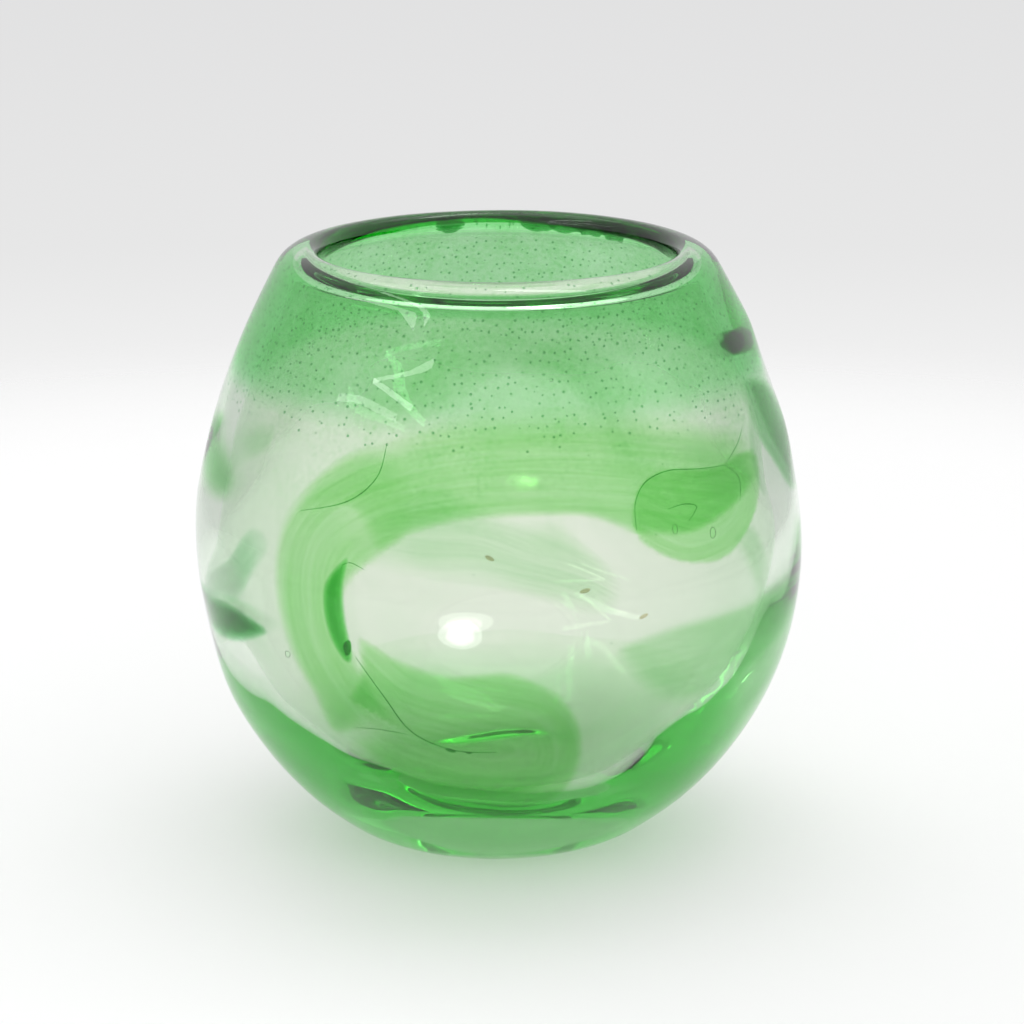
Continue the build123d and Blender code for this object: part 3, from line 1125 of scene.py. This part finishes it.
room = {
    "radius": 0.72,
    "under": 0.0002,
    "floor": 0.90,
    "fadeFrom": 0.40,
    "fadeTo": 0.60,
    "tent": [  # (how high, from straight down to straight up, and the colour there)
        (0.0, (0.90, 0.90, 0.90)), (0.385, (0.90, 0.90, 0.90)), (0.405, (0.80, 0.80, 0.80)),
        (0.46, (0.735, 0.735, 0.74)), (0.60, (0.80, 0.80, 0.80)), (1.0, (1.0, 1.0, 1.0))],
}


def makeFloor():
    bpy.ops.object.select_all(action="DESELECT")
    bpy.ops.mesh.primitive_circle_add(
        vertices=96, radius=room["radius"], fill_type="NGON", location=(0, 0, -room["under"]))
    floor = bpy.context.object
    floor.name = "floor"
    settle(floor)
    material, nodes, links, shader = startMaterial("paleFloor")
    setInputs(shader, {
        "Base Color": (room["floor"], room["floor"], room["floor"], 1), "Roughness": 0.6,
        "Specular IOR Level": 0.2})
    where, length = addNode(nodes, "TexCoord"), addNode(nodes, "VectorMath")
    length.operation = "LENGTH"
    fade = addNode(nodes, "MapRange", {
        "From Min": room["fadeFrom"], "From Max": room["fadeTo"], "To Min": 1, "To Max": 0})
    fade.interpolation_type = "SMOOTHSTEP"
    wire(
        links, (where, "Object", length, 0), (length, "Value", fade, "Value"),
        (fade, "Result", shader, "Alpha"),
    )
    floor.data.materials.append(material)


def makeTent():
    world = bpy.data.worlds.new("tent")
    scene.world = world
    world.use_nodes = True
    nodes, links = world.node_tree.nodes, world.node_tree.links
    where, split = addNode(nodes, "TexCoord"), addNode(nodes, "SeparateXYZ")
    height = addNode(nodes, "MapRange", {"From Min": -1})
    shade = ramp(nodes, room["tent"])
    wire(
        links, (where, "Generated", split, 0), (split, "Z", height, "Value"),
        (height, "Result", shade, "Fac"), (shade, "Color", nodes["Background"], "Color"),
    )
    nodes["Background"].inputs["Strength"].default_value = 1.0


lights = {  # name: (one end, other end, width, power, casts a shadow)
    "shoulderStripOne": ((-0.56, 0.09, 0.98), (-0.51, -0.63, 0.79), 0.05, 0.45, False),
    "shoulderStripTwo": ((-0.88, 0.02, 0.68), (-0.59, -0.58, 0.77), 0.04, 0.30, False),
    "lipStrip": ((0.01, 0.38, 1.05), (0.36, 0.13, 1.07), 0.12, 0.60, False),
    "glintUpper": ((-0.44, -0.74, 0.72), (-0.80, -0.50, 0.59), 0.025, 0.13, False),
    "glintLower": ((-0.80, -0.50, 0.59), (-0.56, -0.78, 0.56), 0.025, 0.13, False),
    "glintLast": ((-0.94, -0.30, 0.48), (-0.66, -0.72, 0.52), 0.025, 0.11, False),
    "topPanel": ((-0.50, 0.30, 1.15), (0.50, 0.30, 1.15), 0.80, 2.1, True),
    "frontGlow": ((-0.080, -0.232, 0.018), (-0.014, -0.246, 0.018), 0.036, 0.022, False),
    "frontMiddle": ((-0.068, -0.230, 0.018), (-0.026, -0.239, 0.018), 0.024, 0.011, False),
    "frontSpot": ((-0.058, -0.228, 0.019), (-0.034, -0.233, 0.019), 0.014, 0.006, False),
}


lampAim = 0.12  # every lamp faces this height on the axis


def makeLights():
    for name, (start, end, width, power, shadow) in lights.items():
        start, end = Vector(start), Vector(end)
        bpy.ops.object.light_add(type="AREA", location=(start + end) / 2)
        lamp = bpy.context.object
        lamp.name = name
        lamp.data.shape = "ELLIPSE" if name.startswith("front") else "RECTANGLE"
        lamp.data.size = (end - start).length
        lamp.data.size_y = width
        lamp.data.energy = power
        lamp.data.use_shadow = shadow
        lamp.visible_camera = False
        along = (end - start).normalized()
        back = lamp.location - Vector((0, 0, lampAim))
        back = (back - along * back.dot(along)).normalized()
        lamp.rotation_euler = Matrix((along, back.cross(along), back)).transposed().to_euler()


camera = {"distance": 0.900, "elevation": 15.13, "aimHeight": 0.0814, "aside": 0.0036, "lens": 126.1}


def makeCamera():
    tilt = math.radians(camera["elevation"])
    bpy.ops.object.camera_add(
        location=(camera["aside"], -camera["distance"] * math.cos(tilt),
                  camera["aimHeight"] + camera["distance"] * math.sin(tilt)),
        rotation=(math.radians(90) - tilt, 0, 0))
    eye = bpy.context.object
    eye.data.lens = camera["lens"]
    eye.data.sensor_width = 36
    eye.data.clip_start = 0.01
    scene.camera = eye


makeFloor()
makeTent()
makeLights()
makeCamera()
scene.view_settings.view_transform = "Standard"
# thick glass carries light round inside itself many times before it leaves
scene.cycles.max_bounces = 64
scene.cycles.glossy_bounces = 48
scene.cycles.transmission_bounces = 48
scene.cycles.diffuse_bounces = 6
scene.cycles.transparent_max_bounces = 64
print("room, light and camera set")
